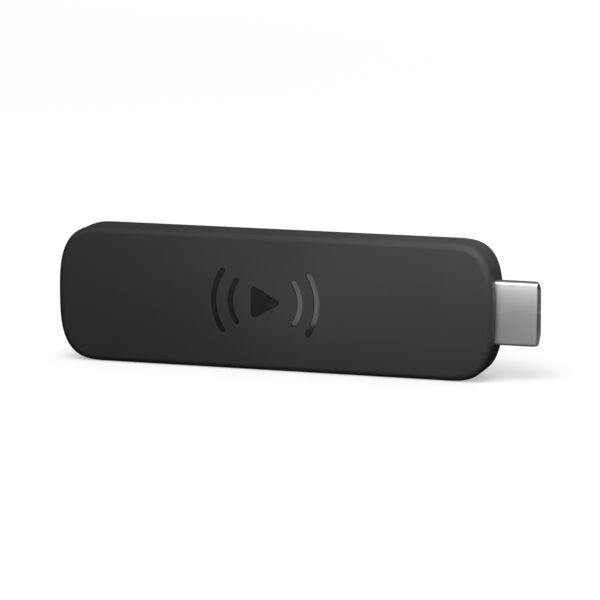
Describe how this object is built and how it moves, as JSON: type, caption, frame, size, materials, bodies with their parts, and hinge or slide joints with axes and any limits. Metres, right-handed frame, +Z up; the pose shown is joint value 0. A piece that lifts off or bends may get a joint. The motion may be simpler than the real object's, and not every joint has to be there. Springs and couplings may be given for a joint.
{
  "type": "streaming media player",
  "caption": "Slim dark stick with rolled edges and a matt two-part housing, a metal video plug at one end and a power inlet in one long edge; streams video to a screen.",
  "frame": {"origin": "centre of the whole part's box at its base, where the long edge rests", "axes": "+X along the stick towards the video plug, -Y out of the marked front face, +Z up with the stick standing on its long edge"},
  "size_m": [0.1075, 0.014, 0.03],
  "materials": {
    "housing_plastic": "fine matt texture, neutral dark grey",
    "plug_steel": "satin nickel-plated steel",
    "socket_steel": "satin plated steel",
    "insulator_black": "moulded black",
    "contact_gold": "gold-plated",
    "gasket_foam": "open foam",
    "board_laminate": "green solder mask",
    "package_black": "moulded epoxy",
    "inductor_core": "pressed metal powder",
    "can_metal": "tinned sheet",
    "capacitor_ceramic": "fired ceramic",
    "tin_plate": "tin-plated ends",
    "thermal_pad": "soft silicone",
    "gap_pad": "soft silicone, pale blue",
    "spreader_aluminium": "rolled sheet",
    "carrier_plastic": "moulded black",
    "antenna_brass": "plated strip"
  },
  "bodies": {
    "root": {"front_shell": "housing_plastic", "back_shell": "housing_plastic", "video_plug_shell": "plug_steel", "video_plug_insulator": "insulator_black", "video_plug_contacts": "contact_gold", "plug_gasket": "gasket_foam", "power_socket_shell": "socket_steel", "power_socket_insulator": "insulator_black", "power_socket_contacts": "contact_gold", "main_board": "board_laminate", "processor": "package_black", "memory_chip": "package_black", "storage_chip": "package_black", "wireless_chip": "package_black", "power_chip": "package_black", "interface_chips": "package_black", "radio_amplifiers": "package_black", "power_inductors": "inductor_core", "clock_crystals": "can_metal", "capacitor_bodies": "capacitor_ceramic", "capacitor_ends": "tin_plate", "front_shield_frame": "can_metal", "front_shield_lid": "can_metal", "back_shield_frame": "can_metal", "back_shield_lid": "can_metal", "processor_thermal_pad": "thermal_pad", "memory_thermal_pad": "thermal_pad", "storage_thermal_pad": "thermal_pad", "front_gap_pad": "gap_pad", "back_gap_pad": "gap_pad", "front_heat_spreader": "spreader_aluminium", "back_heat_spreader": "spreader_aluminium", "antenna_carrier": "carrier_plastic", "upper_antenna": "antenna_brass", "lower_antenna": "antenna_brass", "short_range_antenna": "antenna_brass", "antenna_clips": "contact_gold"}
  },
  "joints": []
}
